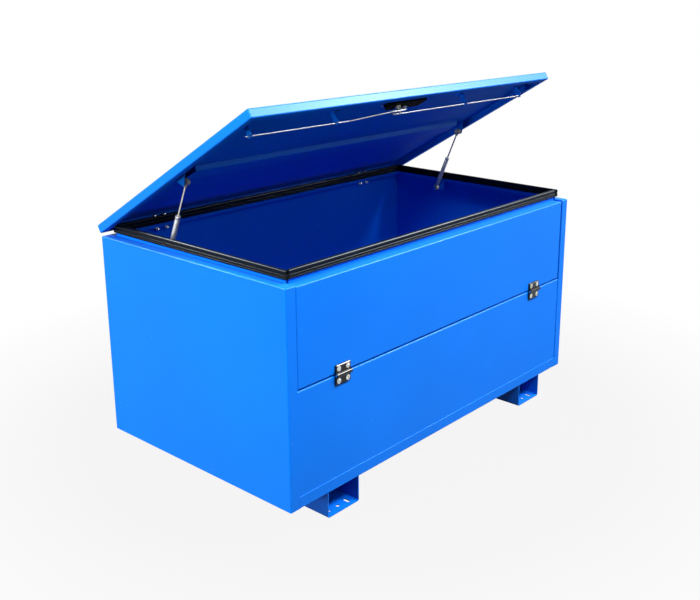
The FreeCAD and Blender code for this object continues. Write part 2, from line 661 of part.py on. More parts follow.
def lid_bracket():
    """Gusset plate under the lid with a foot turned inwards, drawn closed."""
    x0, x1 = LID_BRACKET_X, LID_BRACKET_X + BRACKET_T
    y, z = LID_PIVOT_CLOSED.y, LID_PIVOT_CLOSED.z
    half = LID_BRACKET_W / 2
    top = V(x0, y, Z_UNDER)
    reach = (V(x0, y, z) - top).Length
    tilt = math.atan2(half, reach) - math.asin(LID_BRACKET_R / math.hypot(half, reach))
    side = V(0, math.cos(tilt), -math.sin(tilt)) * LID_BRACKET_R
    tip = V(x0, y, z - LID_BRACKET_R)
    right = V(x0, y + side.y, z + side.z)
    left = V(x0, y - side.y, z + side.z)
    a, b = V(x0, y + half, Z_UNDER), V(x0, y - half, Z_UNDER)
    outline = Part.Wire([Part.makeLine(b, a), Part.makeLine(a, right), Part.Arc(right, tip, left).toShape(),
                         Part.makeLine(left, b)])
    gusset = Part.Face(outline).extrude(V(BRACKET_T, 0, 0))
    foot_plate = box(x0 - LID_BRACKET_FOOT, x1, y - half, y + half, Z_UNDER - BRACKET_T, Z_UNDER)
    return fused(gusset, foot_plate)


# Latch, drawn in the closed lid.
CAM_Y = -Y_OUT + CAM_FROM_FRONT
DISH_Y = CAM_Y
Z_CAM = Z_LID - CAM_DEPTH
Z_ROD = Z_LID - ROD_DEPTH
GUIDE_Y = CAM_Y + PIN_THROW
Z_DISH = Z_UNDER - DISH_DEPTH
Z_DISH_TOP = Z_LID + DISH_FLANGE_T


def dish_screw_points():
    x = DISH_W / 2 + DISH_FLANGE_X / 2
    return [V(sx * x, DISH_Y + sy * DISH_SCREW_Y, Z_DISH_TOP) for sx in (-1, 1) for sy in (-1, 1)]


def rounded_block(half_x, half_y, z0, z1, radius):
    block = box(-half_x, half_x, DISH_Y - half_y, DISH_Y + half_y, z0, z1)
    return block.makeFillet(radius, [e for e in block.Edges if not near(e.Vertexes[0].Z, e.Vertexes[1].Z)])


def dish():
    half_x, half_y = DISH_W / 2, DISH_D / 2
    flange = rounded_block(half_x + DISH_FLANGE_X, half_y + DISH_FLANGE_Y, Z_LID, Z_DISH_TOP, DISH_R)
    tub_out = rounded_block(half_x, half_y, Z_DISH, Z_LID, DISH_R)
    tub_in = rounded_block(half_x - DISH_WALL, half_y - DISH_WALL, Z_DISH + DISH_WALL,
                           Z_DISH_TOP + SHEET, DISH_R - DISH_WALL)
    hub = rod(V(CAM_X, CAM_Y, Z_DISH), V(0, 0, 1), HUB_R, Z_DISH_TOP - Z_DISH)
    bore = rod(V(CAM_X, CAM_Y, Z_DISH), V(0, 0, 1), SPINDLE_R + RUN_CLEAR, Z_DISH_TOP - Z_DISH)
    body = fused(fused(flange, tub_out).cut(tub_in), hub).cut(bore)
    for at in dish_screw_points():
        low = at - V(0, 0, DISH_FLANGE_T)
        body = body.cut(rod(low, V(0, 0, 1), DISH_SCREW_R + SCREW_CLEAR, DISH_FLANGE_T))
    return body


def dish_screws():
    pieces = []
    for at in dish_screw_points():
        shank_l = DISH_FLANGE_T + SHEET + DISH_NUT_H + SHEET
        head = rod(at, V(0, 0, 1), DISH_HEAD_R, DISH_SCREW_R)
        shank = rod(at - V(0, 0, shank_l), V(0, 0, 1), DISH_SCREW_R, shank_l)
        nut = hexagon(V(at.x, at.y, Z_UNDER - DISH_NUT_H), V(0, 0, 1), DISH_NUT_AF, DISH_NUT_H)
        pieces.append(fused(head, shank, nut))
    return Part.makeCompound(pieces)


def spindle():
    step = Z_CAM
    top = Z_DISH_TOP + HANDLE_LIFT + HANDLE_BORE - RUN_CLEAR
    low = Z_CAM - CAM_T - CAM_NUT_H - SPINDLE_PROUD
    wide = rod(V(CAM_X, CAM_Y, step), V(0, 0, 1), SPINDLE_R, top - step)
    thin = rod(V(CAM_X, CAM_Y, low), V(0, 0, 1), SPINDLE_END_R, step - low)
    return fused(wide, thin)


def handle():
    """Swing lever in its open place, pointing to the back of the lid."""
    z0 = Z_DISH_TOP + HANDLE_LIFT
    hub = rod(V(CAM_X, CAM_Y, z0), V(0, 0, 1), HANDLE_HUB_R, HANDLE_H)
    arm_z = z0 + HANDLE_H - HANDLE_ARM_T
    tip_y = CAM_Y + HANDLE_L - HANDLE_TIP_W / 2
    w0, w1 = HANDLE_W / 2, HANDLE_TIP_W / 2
    arm = prism_xy([(CAM_X - w0, CAM_Y), (CAM_X + w0, CAM_Y), (CAM_X + w1, tip_y), (CAM_X - w1, tip_y)],
                   arm_z, arm_z + HANDLE_ARM_T)
    tip = rod(V(CAM_X, tip_y, arm_z), V(0, 0, 1), w1, HANDLE_ARM_T)
    lever = fused(hub, arm, tip)
    top = [e for e in lever.Edges if all(near(v.Z, z0 + HANDLE_H) for v in e.Vertexes)]
    lever = lever.makeFillet(HANDLE_ARM_T / 4, top)
    return lever.cut(rod(V(CAM_X, CAM_Y, z0), V(0, 0, 1), SPINDLE_R + RUN_CLEAR, HANDLE_BORE))


def cam():
    """Two-armed plate whose slots drive the hooked ends of the rods."""
    z0 = Z_CAM - CAM_T
    reach = PIN_THROW * math.sqrt(2)
    slot_end = reach + CAM_SLOT_W / 2 - ROD_WIRE_R
    slot_start = PIN_THROW
    arm_end = slot_end + CAM_SLOT_W / 2 + CAM_ARM_END - CAM_ARM_W / 2
    plate = box(-arm_end, arm_end, -CAM_ARM_W / 2, CAM_ARM_W / 2, z0, Z_CAM)
    ends = [rod(V(s * arm_end, 0, z0), V(0, 0, 1), CAM_ARM_W / 2, CAM_T) for s in (-1, 1)]
    plate = fused(plate, rod(V(0, 0, z0), V(0, 0, 1), HUB_R, CAM_T), *ends)
    plate = plate.cut(rod(V(0, 0, z0), V(0, 0, 1), SPINDLE_END_R + RUN_CLEAR, CAM_T))
    for s in (-1, 1):
        x0, x1 = sorted((s * slot_start, s * slot_end))
        slot = fused(box(x0, x1, -CAM_SLOT_W / 2, CAM_SLOT_W / 2, z0, Z_CAM),
                     *[rod(V(x, 0, z0), V(0, 0, 1), CAM_SLOT_W / 2, CAM_T) for x in (x0, x1)])
        plate = plate.cut(slot)
    plate.rotate(V(0, 0, 0), V(0, 0, 1), 135)
    plate.translate(V(CAM_X, CAM_Y, 0))
    return plate


def cam_nut():
    at = V(CAM_X, CAM_Y, Z_CAM - CAM_T - CAM_NUT_H)
    bore = rod(at, V(0, 0, 1), SPINDLE_END_R + RUN_CLEAR, CAM_NUT_H)
    return hexagon(at, V(0, 0, 1), NUT_AF, CAM_NUT_H).cut(bore)


def bent_wire(points, radii):
    """Round wire along straight runs with an arc at each inner point."""
    edges = []
    at = points[0]
    for i, radius in enumerate(radii):
        corner, onward = points[i + 1], points[i + 2]
        a, b = (corner - at).normalize(), (onward - corner).normalize()
        half = math.acos(max(-1, min(1, a.dot(b)))) / 2
        back = radius * math.tan(half)
        start, end = corner - a * back, corner + b * back
        inward = (b - a).normalize()
        centre = corner + inward * (radius / math.cos(half))
        edges.append(Part.makeLine(at, start))
        edges.append(Part.Arc(start, centre - inward * radius, end).toShape())
        at = end
    edges.append(Part.makeLine(at, points[-1]))
    path = Part.Wire(edges)
    ring = Part.Wire(Part.makeCircle(ROD_WIRE_R, points[0], points[1] - points[0]))
    return path.makePipeShell([ring], True, False)


Z_HOOK = Z_CAM + CLIP_GAP + CLIP_T + SHEET


def right_rod():
    hook = V(CAM_X - PIN_THROW, GUIDE_Y, Z_ROD)
    return bent_wire([V(ROD_TIP_X, GUIDE_Y, Z_ROD), hook, V(hook.x, hook.y, Z_HOOK)], [ROD_BEND / 2])


def left_rod():
    hook = V(CAM_X + PIN_THROW, CAM_Y - PIN_THROW, Z_ROD)
    lead_in = V(-GUIDE_INNER_X + ROD_LEAD_IN, GUIDE_Y, Z_ROD)
    lead_out = V(CAM_X - ROD_LEAD_OUT, hook.y, Z_ROD)
    return bent_wire([V(-ROD_TIP_X, GUIDE_Y, Z_ROD), lead_in, lead_out, hook, V(hook.x, hook.y, Z_HOOK)],
                     [ROD_SWEEP_R, ROD_SWEEP_R, ROD_BEND / 2])


def rod_clip(s):
    at = V(CAM_X - s * PIN_THROW, CAM_Y + s * PIN_THROW, Z_CAM + CLIP_GAP)
    return rod(at, V(0, 0, 1), CLIP_R, CLIP_T).cut(rod(at, V(0, 0, 1), ROD_WIRE_R + RUN_CLEAR, CLIP_T))


def guide(x):
    """Angle under the right of the lid: a tab with the hole the rod slides in, its foot turned inwards."""
    half = GUIDE_W / 2
    tip_z = Z_ROD - GUIDE_TIP + half
    x0, x1 = x - GUIDE_T / 2, x + GUIDE_T / 2
    strip = box(x0, x1, GUIDE_Y - half, GUIDE_Y + half, tip_z, Z_UNDER)
    tip = rod(V(x0, GUIDE_Y, tip_z), V(1, 0, 0), half, GUIDE_T)
    foot_plate = box(x1 - GUIDE_FOOT, x1, GUIDE_Y - half, GUIDE_Y + half, Z_UNDER - GUIDE_T, Z_UNDER)
    hole = rod(V(x0, GUIDE_Y, Z_ROD), V(1, 0, 0), ROD_WIRE_R + GUIDE_CLEAR, GUIDE_T)
    return fused(strip, tip, foot_plate).cut(hole)


def parts():
    side = right_side()
    named = {
        "right_side_panel": side,
        "left_side_panel": mirrored(side),
        "back_panel": back(),
        "floor_pan": floor_pan(),
        "lower_front_panel": lower_front(),
        "left_foot_channel": foot(-FOOT_X),
        "right_foot_channel": foot(FOOT_X),
        "rim_seal": rim_seal(),
        "door_panel": door(),
        "door_seal": door_seal(),
        "lid_tray": opened(lid_tray()),
        "lid_stiffener": opened(stiffener()),
        "latch_dish": opened(dish()),
        "latch_dish_screws": opened(dish_screws()),
        "latch_spindle": opened(spindle()),
        "latch_handle": opened(handle()),
        "latch_cam": opened(cam()),
        "latch_cam_nut": opened(cam_nut()),
        "left_latch_rod": opened(left_rod()),
        "right_latch_rod": opened(right_rod()),
        "left_rod_clip": opened(rod_clip(-1)),
        "right_rod_clip": opened(rod_clip(1)),
        "left_outer_rod_guide": opened(mirrored(guide(GUIDE_OUTER_X))),
        "left_inner_rod_guide": opened(mirrored(guide(GUIDE_INNER_X))),
        "right_inner_rod_guide": opened(guide(GUIDE_INNER_X)),
        "right_outer_rod_guide": opened(guide(GUIDE_OUTER_X)),
    }
    strut = {
        "strut_wall_bracket": wall_bracket(),
        "strut_wall_stud": wall_stud(),
        "strut_lower_eye": lower_eye(),
        "strut_cylinder": cylinder(),
        "strut_rod": strut_rod(),
        "strut_upper_eye": upper_eye(),
        "strut_lid_bracket": opened(lid_bracket()),
    }
    for name, shape in strut.items():
        named["right_" + name] = shape
        named["left_" + name] = mirrored(shape)
    for word, s in (("left", -1), ("right", 1)):
        named[word + "_lid_hinge_wall_leaf"] = on_back(leaf(-1, 1), s * LID_HINGE_X)
        named[word + "_lid_hinge_lid_leaf"] = opened(on_back(leaf(1, -1), s * LID_HINGE_X))
        named[word + "_lid_hinge_pin"] = on_back(hinge_pin(), s * LID_HINGE_X)
        named[word + "_door_hinge_panel_leaf"] = on_front(leaf(-1, 1), s * DOOR_HINGE_X)
        named[word + "_door_hinge_door_leaf"] = on_front(leaf(1, -1), s * DOOR_HINGE_X)
        named[word + "_door_hinge_pin"] = on_front(hinge_pin(), s * DOOR_HINGE_X)
    for word, make in (("screws", screw_at), ("nuts", nut_at)):
        fixed = fastener_set(make, -1, on_back, LID_HINGE_X)
        fixed += fastener_set(make, -1, on_front, DOOR_HINGE_X)
        on_lid = Part.makeCompound(fastener_set(make, 1, on_back, LID_HINGE_X))
        named["box_hinge_" + word] = Part.makeCompound(fixed)
        named["lid_hinge_" + word] = opened(on_lid)
        named["door_hinge_" + word] = Part.makeCompound(fastener_set(make, 1, on_front, DOOR_HINGE_X))
    return named


os.makedirs("parts", exist_ok=True)
for node, shape in parts().items():
    shape.exportStep("parts/" + node + ".step")
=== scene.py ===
import json
import math

import bmesh
import bpy
from bpy.props import FloatProperty, FloatVectorProperty, IntProperty, PointerProperty
from mathutils import Matrix, Vector


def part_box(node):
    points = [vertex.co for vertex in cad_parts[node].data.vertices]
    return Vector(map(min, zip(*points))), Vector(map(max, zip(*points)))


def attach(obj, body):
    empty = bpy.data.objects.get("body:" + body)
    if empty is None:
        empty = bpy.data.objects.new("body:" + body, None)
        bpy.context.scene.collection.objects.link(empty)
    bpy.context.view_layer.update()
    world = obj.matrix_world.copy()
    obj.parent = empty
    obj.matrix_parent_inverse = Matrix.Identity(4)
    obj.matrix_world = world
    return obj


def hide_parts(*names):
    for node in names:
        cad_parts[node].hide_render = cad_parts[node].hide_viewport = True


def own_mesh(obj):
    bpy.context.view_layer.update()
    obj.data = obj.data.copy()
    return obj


bl_info = {
    "name": "Jobsite storage box",
    "version": (1, 0, 0),
    "blender": (4, 5, 0),
    "location": "3D View > Sidebar > Jobsite box",
    "description": "Dresses the steel storage box: coat, seals, fasteners, struts, latch and stage",
    "category": "Object",
}

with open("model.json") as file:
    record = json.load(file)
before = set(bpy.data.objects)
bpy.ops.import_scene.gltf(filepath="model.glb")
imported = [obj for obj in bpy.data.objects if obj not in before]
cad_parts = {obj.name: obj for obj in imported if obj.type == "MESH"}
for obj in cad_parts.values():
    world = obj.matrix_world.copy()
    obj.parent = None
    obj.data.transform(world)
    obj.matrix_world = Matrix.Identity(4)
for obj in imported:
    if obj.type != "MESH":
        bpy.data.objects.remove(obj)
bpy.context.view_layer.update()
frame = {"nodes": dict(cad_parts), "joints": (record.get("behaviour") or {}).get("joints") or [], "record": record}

JOINTS = {joint["name"]: joint for joint in frame["joints"]}
SLOTS = {part["node"]: part["material_slot"] for part in frame["record"]["subparts"]}
FINISH = {}

SIDES = ("left", "right")
WIRES = ("left_latch_rod", "right_latch_rod")

# Degrees by which a screw is turned from the one before it, and a row from the row below
SCREW_TURN = 41
ROW_TURN = 13
DISH_SCREW_TURN = 37

INTO_FRONT = Matrix.Rotation(math.radians(-90), 4, "X")
INTO_BACK = Matrix.Rotation(math.radians(90), 4, "X")
ACROSS = Matrix.Rotation(math.radians(90), 4, "Z")
UPRIGHT = Matrix.Rotation(math.radians(90), 4, "Y")

# Name, place, aim, width in metres and power in watts of each lamp, and whether it is seen as shine alone
LAMPS = (
    ("front_high", (-0.6, -3.2, 4.7), (0, -0.4, 0.5), 1.2, 250.0, False),
    ("front_low", (-0.6, -4.0, 2.9), (0, 0.2, 0.7), 1.0, 34.0, False),
    ("left_high", (-4.0, 0.4, 2.9), (-0.6, 0, 0.4), 1.4, 238.0, False),
    ("left_low", (-4.2, 0.2, 0.55), (0, 0, 0.8), 0.9, 60.0, False),
    ("right_high", (1.7, -2.9, 4.6), (0, -0.4, 0.6), 1.2, 305.0, False),
    ("back_low", (3.0, 3.4, 1.9), (0, 0.2, 0.5), 1.6, 170.0, False),
    ("right_shine", (3.3, -2.5, 3.2), (0, -0.3, 1.1), 2.0, 500.0, True),
    ("back_shine", (-2.1, 3.3, 3.2), (-0.7, 0, 0.7), 1.4, 240.0, True),
)


class FinishSettings(bpy.types.PropertyGroup):
    """Colours and gloss of the box's finishes"""

    coat: FloatVectorProperty(
        name="Powder coat", description="Blue of the powder-coated sheet", subtype="COLOR",
        min=0, max=1, default=(0.0012, 0.156, 0.74))
    # Painted shade: a deeper blue that the coat takes wherever ambient occlusion finds walls near, standing in for
    # the shade inside the box and under the lid
    painted_shade_coat: FloatVectorProperty(
        name="Thin coat", description="Deeper blue of the coat inside, where the spray hardly reaches",
        subtype="COLOR", min=0, max=1, default=(0.0006, 0.085, 0.58))
    # Distance of the ambient-occlusion rays that decide where the painted shade falls
    reach: FloatProperty(
        name="Spray reach", description="Walls nearer than this keep the spray away", unit="LENGTH",
        default=1.2)
    coat_gloss: FloatProperty(
        name="Coat roughness", description="Roughness of the powder coat", subtype="FACTOR",
        min=0, max=1, default=0.3)
    rubber: FloatVectorProperty(
        name="Seal rubber", description="Colour of the rim and door seals", subtype="COLOR",
        min=0, max=1, default=(0.0012, 0.0018, 0.0036))
    hinge: FloatVectorProperty(
        name="Hinge black", description="Colour of the cast hinge leaves", subtype="COLOR",
        min=0, max=1, default=(0.002, 0.002, 0.0026))
    plastic: FloatVectorProperty(
        name="Latch plastic", description="Colour of the latch dish and handle", subtype="COLOR",
        min=0, max=1, default=(0.005, 0.0052, 0.006))
    zinc: FloatVectorProperty(
        name="Zinc plate", description="Colour of the screws, nuts and latch metal", subtype="COLOR",
        min=0, max=1, default=(0.62, 0.65, 0.63))
    wire: FloatVectorProperty(
        name="Latch rod wire", description="Colour of the drawn wire of the latch rods", subtype="COLOR",
        min=0, max=1, default=(0.36, 0.37, 0.38))
    cylinder: FloatVectorProperty(
        name="Strut cylinder", description="Colour of the gas strut cylinders", subtype="COLOR",
        min=0, max=1, default=(0.42, 0.44, 0.47))
    fitting: FloatVectorProperty(
        name="Strut fitting", description="Colour of the strut end fittings", subtype="COLOR",
        min=0, max=1, default=(0.26, 0.265, 0.25))
    rod: FloatVectorProperty(
        name="Strut rod", description="Colour of the polished strut rods", subtype="COLOR",
        min=0, max=1, default=(0.74, 0.7, 0.6))


class SealSettings(bpy.types.PropertyGroup):
    """Section of the hollow bulb seals"""

    bulb: FloatProperty(name="Bulb radius", description="Outer radius of the hollow bulb",
                        unit="LENGTH", default=0.0061)
    bore: FloatProperty(name="Bore radius", description="Radius of the hollow in the bulb",
                        unit="LENGTH", default=0.0042)
    clip: FloatProperty(name="Clip width", description="Width of the clip that grips the upstand",
                        unit="LENGTH", default=0.0132)
    shoulder: FloatProperty(name="Clip height", description="Height of the clip below the bulb",
                            unit="LENGTH", default=0.0128)
    slot: FloatProperty(name="Slot", description="Width of the slot that takes the upstand",
                        unit="LENGTH", default=0.0024)
    slot_depth: FloatProperty(name="Slot depth", description="How far the upstand goes into the clip",
                              unit="LENGTH", default=0.0103)
    rib: FloatProperty(name="Rib radius", description="Radius of the rib along each side of the clip",
                       unit="LENGTH", default=0.0009)
    squeezed: FloatProperty(name="Squeezed", description="Height kept when the lid lies on the seal",
                            subtype="FACTOR", min=0, max=1, default=0.715)


class FastenerSettings(bpy.types.PropertyGroup):
    """Countersunk screws and nuts of the hinges"""

    head: FloatProperty(name="Head radius", description="Radius of the countersunk head",
                        unit="LENGTH", default=0.0079)
    shank: FloatProperty(name="Shank radius", description="Radius of the threaded shank",
                         unit="LENGTH", default=0.004)
    socket: FloatProperty(name="Socket", description="Width across the flats of the hex socket",
                          unit="LENGTH", default=0.0064)
    socket_depth: FloatProperty(name="Socket depth", description="Depth of the hex socket",
                                unit="LENGTH", default=0.0044)
    pitch: FloatProperty(name="Thread pitch", description="Distance between two threads",
                         unit="LENGTH", default=0.00125)
    proud: FloatProperty(name="Thread end", description="Thread that stands out of the nut",
                         unit="LENGTH", default=0.009)
    nut: FloatProperty(name="Nut", description="Width across the flats of the nut",
                       unit="LENGTH", default=0.013)
    nut_height: FloatProperty(name="Nut height", description="Height of the nut",
                              unit="LENGTH", default=0.0065)
    leaf: FloatProperty(name="Leaf", description="Thickness of a hinge leaf",
                        unit="LENGTH", default=0.0065)
    sheet: FloatProperty(name="Sheet", description="Thickness of the steel sheet",
                         unit="LENGTH", default=0.002)
    square: FloatProperty(name="Screw square", description="Distance between the screws of a hinge",
                          unit="LENGTH", default=0.036)


class StrutSettings(bpy.types.PropertyGroup):
    """Gas strut cylinders"""

    radius: FloatProperty(name="Radius", description="Radius of the cylinder",
                          unit="LENGTH", default=0.0075)
    collar: FloatProperty(name="Collar", description="Radius of the rolled collar",
                          unit="LENGTH", default=0.0082)
    length: FloatProperty(name="Length", description="Length of the cylinder", unit="LENGTH", default=0.12)
    neck: FloatProperty(name="Neck", description="Distance from the pivot to the cylinder",
                        unit="LENGTH", default=0.014)
    guide: FloatProperty(name="Guide", description="Radius of the bore that the rod runs in",
                         unit="LENGTH", default=0.0031)
    crimp: FloatProperty(name="Crimp", description="Distance of the crimped groove from the collar",
                         unit="LENGTH", default=0.011)


class LatchSettings(bpy.types.PropertyGroup):
    """Return spring, lock and dish screws of the latch"""

    coil: FloatProperty(name="Coil radius", description="Radius of the spring at its wire's middle",
                        unit="LENGTH", default=0.0086)
    wire: FloatProperty(name="Wire radius", description="Radius of the spring wire",
                        unit="LENGTH", default=0.0009)
    turns: IntProperty(name="Turns", description="Turns of the spring", min=1, default=5)
    rise: FloatProperty(name="Rise", description="Rise of one turn, in radii of the wire", default=2.25)
    lift: FloatProperty(name="Lift", description="Room between spring and cam, in radii of the wire",
                        default=3.6)
    lock: FloatProperty(name="Lock radius", description="Radius of the lock in the handle's hub",
                        unit="LENGTH", default=0.0085)
    lock_height: FloatProperty(name="Lock height", description="How far the lock stands out of the hub",
                               unit="LENGTH", default=0.0014)
    key: FloatProperty(name="Key slot", description="Length of the key slot", unit="LENGTH", default=0.0086)
    head: FloatProperty(name="Screw head", description="Radius of a dish screw's head",
                        unit="LENGTH", default=0.004)
    head_height: FloatProperty(name="Head height", description="Height of a dish screw's head",
                               unit="LENGTH", default=0.002)
    shank: FloatProperty(name="Screw shank", description="Radius of a dish screw's shank",
                         unit="LENGTH", default=0.002)
    nut: FloatProperty(name="Dish nut", description="Width across the flats of a dish screw's nut",
                       unit="LENGTH", default=0.007)
    nut_height: FloatProperty(name="Dish nut height", description="Height of a dish screw's nut",
                              unit="LENGTH", default=0.0032)
    grip: FloatProperty(name="Grip", description="Thickness that a dish screw clamps",
                        unit="LENGTH", default=0.005)


class WeldSettings(bpy.types.PropertyGroup):
    """Weld beads and spot welds"""

    bead: FloatProperty(name="Bead radius", description="Radius of a weld bead",
                        unit="LENGTH", default=0.0024)
    stitch: FloatProperty(name="Stitch", description="Length of a stitch under the floor",
                          unit="LENGTH", default=0.038)
    stitches: IntProperty(name="Stitches", description="Stitches along each side of a foot",
                          min=2, default=5)
    spot: FloatProperty(name="Spot radius", description="Radius of a spot weld",
                        unit="LENGTH", default=0.0036)
    spot_step: FloatProperty(name="Spot step", description="Distance between spot welds",
                             unit="LENGTH", default=0.06)
    seam: FloatProperty(name="Seam radius", description="Radius of the seams at the front rail",
                        unit="LENGTH", default=0.0012)
    brim: FloatProperty(name="Brim", description="Width of the stiffener's brims",
                        unit="LENGTH", default=0.03)
    hat_sheet: FloatProperty(name="Stiffener sheet", description="Thickness of the stiffener",
                             unit="LENGTH", default=0.0015)


class StageSettings(bpy.types.PropertyGroup):
    """Camera and light"""

    camera_place: FloatVectorProperty(
        name="Camera", description="Where the camera stands", subtype="TRANSLATION",
        default=(-2.2833, -2.0758, 1.4559))
    azimuth: FloatProperty(name="Azimuth", description="Turn of the view about the vertical",
                           subtype="ANGLE", default=math.radians(-50.197))
    elevation: FloatProperty(name="Elevation", description="How far the view looks down", subtype="ANGLE",
                             default=math.radians(15.646))
    roll: FloatProperty(name="Roll", description="Tilt of the picture", subtype="ANGLE",
                        default=math.radians(0.358))
    lens: FloatProperty(name="Lens", description="Focal length in millimetres", default=49.16)
    sensor: FloatProperty(name="Sensor", description="Width of the sensor in millimetres", default=36.0)
    shift_x: FloatProperty(name="Shift across", description="Sideways shift of the lens", default=-0.0634)
    shift_y: FloatProperty(name="Shift up", description="Upward shift of the lens", default=-0.0686)
    floor_size: FloatProperty(name="Floor", description="Side of the floor",
                              subtype="DISTANCE", default=14.0)
    sky: FloatProperty(name="Sky", description="Strength of the light from all around", default=0.08)


class BoxSettings(bpy.types.PropertyGroup):
    """All the settings of the storage box"""

    finish: PointerProperty(type=FinishSettings)
    seal: PointerProperty(type=SealSettings)
    fastener: PointerProperty(type=FastenerSettings)
    strut: PointerProperty(type=StrutSettings)
    latch: PointerProperty(type=LatchSettings)
    weld: PointerProperty(type=WeldSettings)
    stage: PointerProperty(type=StageSettings)


def settings():
    return bpy.context.scene.jobsite_box


# Materials
def shader_of(name):
    """New material with its tree and its shader node."""
    material = bpy.data.materials.new(name)
    material.use_nodes = True
    return material, material.node_tree, material.node_tree.nodes["Principled BSDF"]


def fed(tree, made, inputs):
    for socket, value in inputs.items():
        if isinstance(value, bpy.types.NodeSocket):
            tree.links.new(value, made.inputs[socket])
        else:
            made.inputs[socket].default_value = value
    return made


def node(tree, kind, inputs=(), **values):
    made = tree.nodes.new(kind)
    for name, value in values.items():
        setattr(made, name, value)
    return fed(tree, made, dict(inputs))


def grain(tree, place, scale, detail=3.0):
    inputs = {"Vector": place, "Scale": scale, "Detail": detail}
    return node(tree, "ShaderNodeTexNoise", inputs).outputs["Fac"]


def spread(tree, value, low, high, to_low, to_high):
    inputs = {0: value, 1: low, 2: high, 3: to_low, 4: to_high}
    return node(tree, "ShaderNodeMapRange", inputs).outputs[0]


def mixed(tree, amount, first, second):
    return node(tree, "ShaderNodeMix", {0: amount, 6: first, 7: second}, data_type="RGBA").outputs[2]


def summed(tree, first, second):
    return node(tree, "ShaderNodeMath", {0: first, 1: second}, operation="ADD", use_clamp=True).outputs[0]


def bumped(tree, shader, height, strength, distance):
    made = node(tree, "ShaderNodeBump", {"Height": height, "Strength": strength, "Distance": distance})
    tree.links.new(made.outputs[0], shader.inputs["Normal"])


def tone(colour, factor):
    return [min(1.0, channel * factor) for channel in colour] + [1.0]


def powder_coat():
    """Blue powder coat: orange peel, drifting tone, flecks of dust, and painted shade in deeper blue where ambient
    occlusion finds walls near.
    """
    look = settings().finish
    material, tree, shader = shader_of("blue_powder_coat")
    place = node(tree, "ShaderNodeTexCoord").outputs["Object"]
    drift = spread(tree, grain(tree, place, 2.2), 0.3, 0.7, 0.0, 1.0)
    base = mixed(tree, drift, tone(look.coat, 0.95), tone(look.coat, 1.05))
    # Painted shade: ambient occlusion turns the coat to the deeper blue inside the box, under the lid and between
    # the feet
    reach = node(tree, "ShaderNodeAmbientOcclusion", {"Distance": look.reach}, samples=8).outputs["AO"]
    free_of_painted_shade = spread(tree, reach, 0.12, 0.42, 0.0, 1.0)
    base = mixed(tree, free_of_painted_shade, tone(look.painted_shade_coat, 1.0), base)
    cells = node(tree, "ShaderNodeTexVoronoi", {"Vector": place, "Scale": 15.0}).outputs["Distance"]
    fleck = spread(tree, cells, 0.012, 0.022, 0.5, 0.0)
    base = mixed(tree, fleck, base, (0.45, 0.72, 1.0, 1.0))
    glance = node(tree, "ShaderNodeLayerWeight", {"Blend": 0.5}).outputs["Facing"]
    gloss = spread(tree, glance, 0.38, 0.66, look.coat_gloss, 0.75)
    fed(tree, shader, {"Base Color": base, "Roughness": gloss, "Specular IOR Level": 0.14,
                       "Specular Tint": (0.6, 0.86, 1.0, 1.0)})
    bumped(tree, shader, grain(tree, place, 420.0, 2.0), 0.2, 0.0003)
    return material


def rubber():
    """Extruded seal rubber with a dull shine and a little dust."""
    look = settings().finish
    material, tree, shader = shader_of("black_rubber")
    place = node(tree, "ShaderNodeTexCoord").outputs["Object"]
    dust = spread(tree, grain(tree, place, 26.0, 5.0), 0.42, 0.8, 0.0, 1.0)
    base = mixed(tree, dust, tone(look.rubber, 0.8), tone(look.rubber, 1.8))
    glance = node(tree, "ShaderNodeLayerWeight", {"Blend": 0.5}).outputs["Facing"]
    gloss = spread(tree, glance, 0.4, 0.8, 0.2, 0.8)
    fed(tree, shader, {"Base Color": base, "Roughness": gloss, "Specular IOR Level": 0.13,
                       "Specular Tint": (0.6, 0.8, 1.0, 1.0)})
    bumped(tree, shader, grain(tree, place, 900.0, 2.0), 0.15, 0.0002)
    return material


def clouded(name, colour, rough, metallic, scale, gleam):
    """Metal, lacquer or moulding whose tone and gloss drift a little."""
    material, tree, shader = shader_of(name)
    place = node(tree, "ShaderNodeTexCoord").outputs["Object"]
    cloud = spread(tree, grain(tree, place, scale, 4.0), 0.3, 0.7, 0.0, 1.0)
    base = mixed(tree, cloud, tone(colour, 0.86), tone(colour, 1.08))
    gloss = spread(tree, cloud, 0, 1, rough * 0.85, rough * 1.2)
    fed(tree, shader, {"Base Color": base, "Roughness": gloss, "Metallic": metallic,
                       "Specular IOR Level": gleam})
    bumped(tree, shader, grain(tree, place, scale * 9, 2.0), 0.12, 0.0002)
    return material


class JOBSITE_OT_finishes(bpy.types.Operator):
    """Make the finishes and give every CAD piece its own"""

    bl_idname = "jobsite.finishes"
    bl_label = "Finishes"

    def execute(self, context):
        look = settings().finish
        FINISH["blue_powder_coat"] = powder_coat()
        FINISH["black_rubber"] = rubber()
        for name, colour, rough, metallic, scale, gleam in (
                ("black_hinge", look.hinge, 0.15, 0.0, 120.0, 0.3),
                ("black_plastic", look.plastic, 0.75, 0.0, 60.0, 0.03),
                ("strut_grey", look.cylinder, 0.34, 0.55, 40.0, 0.5),
                ("strut_fitting", look.fitting, 0.6, 0.0, 80.0, 0.3),
                ("strut_rod_steel", look.rod, 0.14, 1.0, 50.0, 0.5),
                ("zinc_plate", look.zinc, 0.17, 1.0, 90.0, 0.5),
                ("drawn_wire", look.wire, 0.36, 1.0, 140.0, 0.5)):
            FINISH[name] = clouded(name, colour, rough, metallic, scale, gleam)
        for name, obj in frame["nodes"].items():
            obj.material_slots[0].material = FINISH["drawn_wire" if name in WIRES else SLOTS[name]]
        return {"FINISHED"}


# Bench tools
def only(obj):
    """Make one object the active one and the only one selected."""
    bpy.ops.object.select_all(action="DESELECT")
    obj.select_set(True)
    bpy.context.view_layer.objects.active = obj


